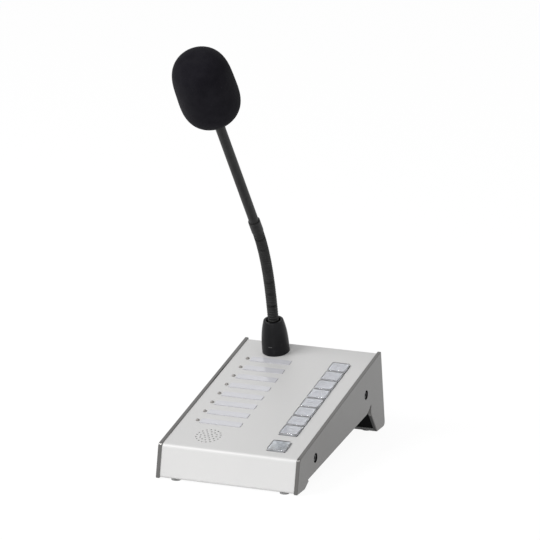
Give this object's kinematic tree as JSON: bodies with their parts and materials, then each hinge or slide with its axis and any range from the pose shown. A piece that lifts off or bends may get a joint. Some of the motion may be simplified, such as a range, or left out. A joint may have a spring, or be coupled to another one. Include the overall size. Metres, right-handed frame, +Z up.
{
  "type": "paging call station",
  "caption": "Desktop paging call station: sloping housing between side cheeks, rows of zone buttons with lamps and label windows, a talk button and a gooseneck microphone.",
  "frame": {"origin": "on the surface it stands on, midway across and midway along the housing", "axes": "+Z up, -Y to the user in front, +X to the right of the user"},
  "size_m": [0.128, 0.2151, 0.3684],
  "materials": {
    "panel_silver": "satin silver paint",
    "cheek_grey": "fine-blasted grey",
    "case_black": "matt black powder coat",
    "steel_dark": "blackened steel",
    "steel": "zinc plated",
    "rubber": "matt",
    "key_clear": "clear, polished",
    "guide_black": "moulded",
    "lamp": "tinted, diffused",
    "label_clear": "clear, polished",
    "label_paper": "paper white",
    "cloth": "acoustic cloth",
    "board_green": "solder mask",
    "chip_black": "epoxy",
    "brass": "turned",
    "socket": "moulded",
    "neck_black": "black oxide",
    "boot_black": "satin moulded",
    "capsule_metal": "plain",
    "foam": "open-cell foam"
  },
  "bodies": {
    "housing": {"side_cheek_left": "cheek_grey", "side_cheek_right": "cheek_grey", "screw_cups": "case_black", "cheek_screws": "steel_dark", "top_panel": "panel_silver", "base_tray": "case_black", "tray_strip": "rubber", "rear_panel": "case_black", "rear_brackets": "case_black", "rear_screws": "steel", "tray_screws": "steel", "press_nuts": "steel", "rubber_feet": "rubber", "button_guide": "guide_black", "switch_bodies": "guide_black", "zone_lamps": "lamp", "label_lens": "label_clear", "label_card": "label_paper", "label_backing": "guide_black", "speaker_cloth": "cloth", "speaker_frame": "guide_black", "speaker_cone": "cloth", "speaker_magnet": "steel", "main_board": "board_green", "board_spacers": "brass", "board_screws": "steel", "logic_chips": "chip_black", "board_capacitors": "chip_black", "link_sockets": "socket", "interface_board": "board_green", "socket_board_spacers": "brass", "neck_base": "neck_black", "neck_washer": "steel", "neck_nut": "steel", "gooseneck_boot": "boot_black"},
    "zone_key_1": {"zone_button_1": "key_clear"},
    "zone_key_2": {"zone_button_2": "key_clear"},
    "zone_key_3": {"zone_button_3": "key_clear"},
    "zone_key_4": {"zone_button_4": "key_clear"},
    "zone_key_5": {"zone_button_5": "key_clear"},
    "zone_key_6": {"zone_button_6": "key_clear"},
    "zone_key_7": {"zone_button_7": "key_clear"},
    "zone_key_8": {"zone_button_8": "key_clear"},
    "talk_key": {"talk_button": "key_clear"},
    "neck_1": {"flex_1": "neck_black"},
    "neck_2": {"flex_2": "neck_black"},
    "neck_3": {"flex_3": "neck_black"},
    "neck_4": {"flex_4": "neck_black"},
    "neck_5": {"flex_5": "neck_black"},
    "neck_6": {"flex_6": "neck_black"},
    "neck_7": {"flex_7": "neck_black"},
    "neck_8": {"flex_8": "neck_black"},
    "microphone": {"neck_ferrule": "neck_black", "neck_stem": "neck_black", "capsule_holder": "boot_black", "microphone_capsule": "capsule_metal", "windscreen": "foam"}
  },
  "joints": [
    {"name": "zone_press_1", "type": "slide", "parent": "housing", "child": "zone_key_1", "axis": [0, 0.2103, -0.9776], "range_m": [0, 0.0012], "stiffness_N_per_m": 500, "springref_m": -0.0006},
    {"name": "zone_press_2", "type": "slide", "parent": "housing", "child": "zone_key_2", "axis": [0, 0.2103, -0.9776], "range_m": [0, 0.0012], "stiffness_N_per_m": 500, "springref_m": -0.0006},
    {"name": "zone_press_3", "type": "slide", "parent": "housing", "child": "zone_key_3", "axis": [0, 0.2103, -0.9776], "range_m": [0, 0.0012], "stiffness_N_per_m": 500, "springref_m": -0.0006},
    {"name": "zone_press_4", "type": "slide", "parent": "housing", "child": "zone_key_4", "axis": [0, 0.2103, -0.9776], "range_m": [0, 0.0012], "stiffness_N_per_m": 500, "springref_m": -0.0006},
    {"name": "zone_press_5", "type": "slide", "parent": "housing", "child": "zone_key_5", "axis": [0, 0.2103, -0.9776], "range_m": [0, 0.0012], "stiffness_N_per_m": 500, "springref_m": -0.0006},
    {"name": "zone_press_6", "type": "slide", "parent": "housing", "child": "zone_key_6", "axis": [0, 0.2103, -0.9776], "range_m": [0, 0.0012], "stiffness_N_per_m": 500, "springref_m": -0.0006},
    {"name": "zone_press_7", "type": "slide", "parent": "housing", "child": "zone_key_7", "axis": [0, 0.2103, -0.9776], "range_m": [0, 0.0012], "stiffness_N_per_m": 500, "springref_m": -0.0006},
    {"name": "zone_press_8", "type": "slide", "parent": "housing", "child": "zone_key_8", "axis": [0, 0.2103, -0.9776], "range_m": [0, 0.0012], "stiffness_N_per_m": 500, "springref_m": -0.0006},
    {"name": "talk_press", "type": "slide", "parent": "housing", "child": "talk_key", "axis": [0, 0.2103, -0.9776], "range_m": [0, 0.002], "stiffness_N_per_m": 400, "springref_m": -0.001},
    {"name": "neck_nod_1", "type": "hinge", "parent": "housing", "child": "neck_1", "pos_m": [-0.02815, 0.07448, 0.09466], "axis": [1, 0, 0.0002], "range_deg": [-12, 10]},
    {"name": "neck_sway_1", "type": "hinge", "parent": "neck_1", "child": "neck_2", "pos_m": [-0.02815, 0.07187, 0.10653], "axis": [0, 0.9711, 0.2387], "range_deg": [-12, 12]},
    {"name": "neck_nod_2", "type": "hinge", "parent": "neck_2", "child": "neck_3", "pos_m": [-0.02815, 0.06897, 0.11833], "axis": [1, 0, 0.0002], "range_deg": [-12, 10]},
    {"name": "neck_sway_2", "type": "hinge", "parent": "neck_3", "child": "neck_4", "pos_m": [-0.02815, 0.06563, 0.13001], "axis": [0, 0.9471, 0.321], "range_deg": [-12, 12]},
    {"name": "neck_nod_3", "type": "hinge", "parent": "neck_4", "child": "neck_5", "pos_m": [-0.02815, 0.06173, 0.14152], "axis": [1, 0, 0.0002], "range_deg": [-12, 10]},
    {"name": "neck_sway_3", "type": "hinge", "parent": "neck_5", "child": "neck_6", "pos_m": [-0.02815, 0.05717, 0.15278], "axis": [0, 0.9, 0.4358], "range_deg": [-12, 12]},
    {"name": "neck_nod_4", "type": "hinge", "parent": "neck_6", "child": "neck_7", "pos_m": [-0.02815, 0.05188, 0.16372], "axis": [1, 0, 0.0002], "range_deg": [-12, 10]},
    {"name": "neck_sway_4", "type": "hinge", "parent": "neck_7", "child": "neck_8", "pos_m": [-0.02815, 0.04579, 0.17423], "axis": [0, 0.8214, 0.5704], "range_deg": [-12, 12]},
    {"name": "neck_nod_5", "type": "hinge", "parent": "neck_8", "child": "microphone", "pos_m": [-0.02815, 0.03886, 0.18421], "axis": [1, 0, 0.0002], "range_deg": [-12, 10]}
  ]
}
